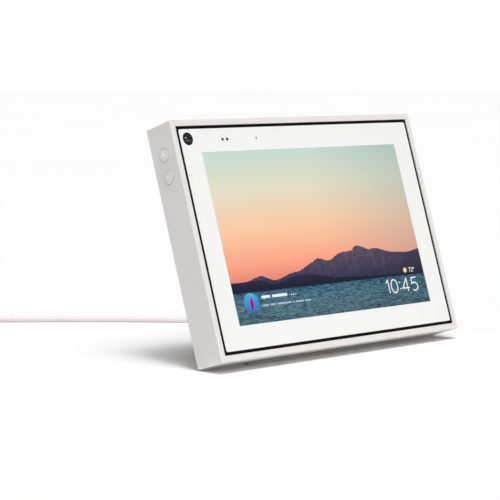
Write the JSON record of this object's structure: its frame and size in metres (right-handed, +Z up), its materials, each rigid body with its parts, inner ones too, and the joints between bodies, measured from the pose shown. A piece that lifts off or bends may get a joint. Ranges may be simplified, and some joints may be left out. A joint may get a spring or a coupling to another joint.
{
  "type": "smart display",
  "caption": "Picture-frame smart display with speakers, leaning back on a swivelling rear leg, with side volume buttons, a camera shutter slider, a power cord and a wall adapter.",
  "frame": {"origin": "on the surface it stands on, under the middle of the display and its rear leg, cord and adapter left out", "axes": "+X to the display's right as seen from the front, +Y backwards, +Z up; the screen faces -Y and leans back 18.13 degrees"},
  "size_m": [0.3181, 0.3089, 0.1487],
  "materials": {
    "white_plastic": "fine moulded texture, satin, warm white",
    "rear_plastic": "soft matte texture, light warm grey",
    "grey_rubber": "matte elastomer",
    "printed_glass": "polished glass, back-printed white",
    "display_picture": "lit screen under polished glass",
    "black_plastic": "matte, fine texture",
    "camera_glass": "polished dark lens",
    "sheet_aluminium": "rolled, satin",
    "sheet_steel": "pressed sheet",
    "circuit_board": "solder mask, semi-gloss",
    "speaker_cone": "paper and rubber, matte",
    "screw_steel": "zinc plated",
    "cord_white": "smooth satin jacket",
    "adapter_plastic": "satin moulded plastic",
    "pin_metal": "nickel plated"
  },
  "bodies": {
    "case": {"outer_frame": "white_plastic", "rear_cover": "rear_plastic", "base_strip": "grey_rubber", "cover_glass": "printed_glass", "display_panel": "display_picture", "front_carrier": "black_plastic", "camera_module": "black_plastic", "camera_lens": "camera_glass", "backlight_unit": "sheet_aluminium", "heat_spreader": "sheet_aluminium", "shield_can": "sheet_steel", "main_board": "circuit_board", "sensor_board": "circuit_board", "microphone_board": "circuit_board", "button_board": "circuit_board", "antenna_left": "circuit_board", "antenna_right": "circuit_board", "volume_up_switch": "black_plastic", "volume_down_switch": "black_plastic", "power_socket": "black_plastic", "speaker_box_left": "black_plastic", "speaker_box_right": "black_plastic", "speaker_driver_left": "speaker_cone", "speaker_driver_right": "speaker_cone", "cover_screw_1": "screw_steel", "cover_screw_2": "screw_steel", "cover_screw_3": "screw_steel", "cover_screw_4": "screw_steel", "friction_washer": "sheet_steel", "power_plug": "cord_white", "plug_strain_relief": "cord_white", "cord_run": "cord_white", "cord_coil": "cord_white", "adapter_strain_relief": "cord_white", "adapter_body": "adapter_plastic", "adapter_pin_left": "pin_metal", "adapter_pin_right": "pin_metal"},
    "volume_up_button": {"volume_up_button": "white_plastic"},
    "volume_down_button": {"volume_down_button": "white_plastic"},
    "privacy_slider": {"privacy_slider_knob": "white_plastic", "shutter_blade": "black_plastic"},
    "stand": {"stand_leg": "white_plastic", "foot_pad": "grey_rubber", "pivot_plate": "sheet_steel", "pivot_screw": "screw_steel"}
  },
  "joints": [
    {"name": "volume_up_press", "type": "slide", "parent": "case", "child": "volume_up_button", "axis": [1, 0, 0], "range_m": [0, 0.0006], "stiffness_N_per_m": 1200, "springref_m": -0.0003},
    {"name": "volume_down_press", "type": "slide", "parent": "case", "child": "volume_down_button", "axis": [1, 0, 0], "range_m": [0, 0.0006], "stiffness_N_per_m": 1200, "springref_m": -0.0003},
    {"name": "privacy_slide", "type": "slide", "parent": "case", "child": "privacy_slider", "axis": [-1, 0, 0], "range_m": [0, 0.009]},
    {"name": "stand_swivel", "type": "hinge", "parent": "case", "child": "stand", "pos_m": [0.0324, -0.00881, 0.07111], "axis": [0, -0.9504, 0.3112], "range_deg": [0, 90]}
  ]
}
